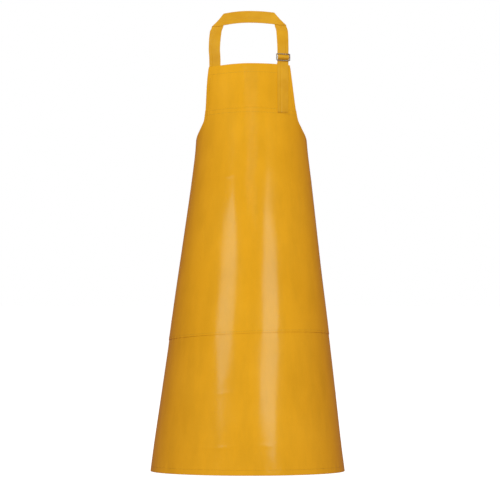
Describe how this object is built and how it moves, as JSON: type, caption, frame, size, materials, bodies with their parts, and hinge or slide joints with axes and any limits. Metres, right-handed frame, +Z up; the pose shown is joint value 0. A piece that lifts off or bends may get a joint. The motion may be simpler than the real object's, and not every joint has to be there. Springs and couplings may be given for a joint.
{
  "type": "butcher apron",
  "caption": "Bib apron of coated cloth with a double belly panel, an adjustable neck strap with a wire slide buckle and flanged waist eyelets.",
  "frame": {"origin": "middle of the lower edge of the neck strap's cross band, where a neck or a hook carries the apron", "axes": "+Z up, the front of the apron faces -Y, +X is to the right as seen from the front"},
  "size_m": [0.5888, 0.375, 1.3835],
  "materials": {
    "coated_cloth": "glossy coated cloth",
    "cloth_backing": "matt woven backing",
    "strap": "coated strap, satin",
    "thread": "twisted sewing thread",
    "eyelet_metal": "nickel-plated",
    "buckle_metal": "bright drawn wire"
  },
  "bodies": {
    "neck_strap": {"neck_band": "strap", "left_leg": "strap", "right_leg": "strap", "corner_fold_left": "strap", "corner_fold_right": "strap", "tab_loop": "strap"},
    "apron": {"apron_sheet": "coated_cloth", "belly_panel": "coated_cloth", "panel_stitch_upper": "thread", "panel_stitch_lower": "thread", "top_hem": "cloth_backing", "bottom_hem": "cloth_backing", "armhole_hem_left": "cloth_backing", "armhole_hem_right": "cloth_backing", "side_hem_left": "cloth_backing", "side_hem_right": "cloth_backing", "waist_patch_left": "cloth_backing", "waist_patch_right": "cloth_backing", "waist_eyelet_left": "eyelet_metal", "waist_eyelet_right": "eyelet_metal", "waist_washer_left": "eyelet_metal", "waist_washer_right": "eyelet_metal", "strap_end_left": "strap", "tab_base": "strap"},
    "buckle": {"buckle_frame": "buckle_metal", "buckle_bar": "buckle_metal", "strap_bight": "strap"},
    "strap_tail": {"strap_tail": "strap"}
  },
  "joints": [
    {"name": "neck_fold", "type": "hinge", "parent": "neck_strap", "child": "apron", "pos_m": [0, 0.002, -0.121], "axis": [1, 0, 0], "range_deg": [-5, 40]},
    {"name": "buckle_tilt", "type": "hinge", "parent": "neck_strap", "child": "buckle", "pos_m": [0.101, -0.009, -0.105], "axis": [-0.9511, -0.309, 0], "range_deg": [0, 25]},
    {"name": "tail_swing", "type": "hinge", "parent": "apron", "child": "strap_tail", "pos_m": [0.1, -0.006, -0.121], "axis": [-0.9511, -0.309, 0], "range_deg": [0, 80]}
  ]
}
